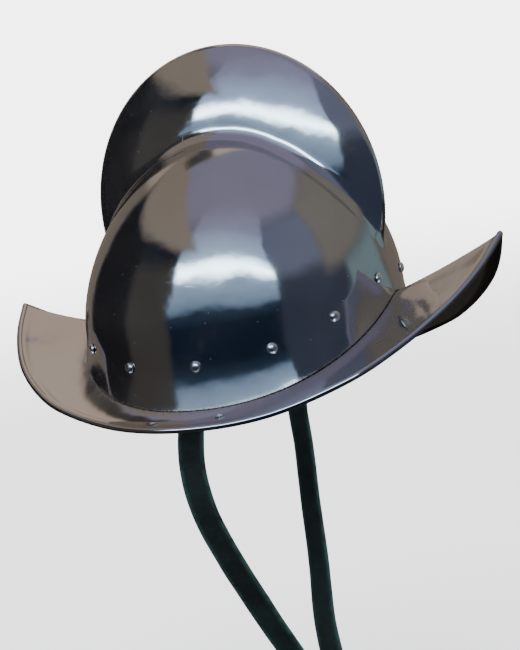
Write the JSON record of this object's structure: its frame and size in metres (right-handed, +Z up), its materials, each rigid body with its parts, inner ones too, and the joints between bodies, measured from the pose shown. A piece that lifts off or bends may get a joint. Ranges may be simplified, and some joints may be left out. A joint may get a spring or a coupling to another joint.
{
  "type": "morion helmet",
  "caption": "Polished steel comb morion with a tall hollow comb, a boat-shaped brim with raised peaks, a row of domed rivets and a leather chin strap.",
  "frame": {"origin": "on the wearer's midline, level with the lowest point of the skull's foot at the ears, midway between the skull's front and back", "axes": "+Z up out of the wearer's head, -Y towards the wearer's front, +X towards the wearer's left"},
  "size_m": [0.2446, 0.3608, 0.4689],
  "materials": {
    "polished_steel": "mirror polished with fine scratches and small dark pits",
    "rivet_steel": "bright worn steel",
    "strap_leather": "smooth dark leather, slightly worn"
  },
  "bodies": {
    "root": {"skull": "polished_steel", "brim": "polished_steel", "rivet_01": "rivet_steel", "rivet_02": "rivet_steel", "rivet_03": "rivet_steel", "rivet_04": "rivet_steel", "rivet_05": "rivet_steel", "rivet_06": "rivet_steel", "rivet_07": "rivet_steel", "rivet_08": "rivet_steel", "rivet_09": "rivet_steel", "rivet_10": "rivet_steel", "rivet_11": "rivet_steel", "rivet_12": "rivet_steel", "rivet_13": "rivet_steel", "rivet_14": "rivet_steel", "strap_right": "strap_leather", "strap_left": "strap_leather", "buckle": "rivet_steel"}
  },
  "joints": []
}
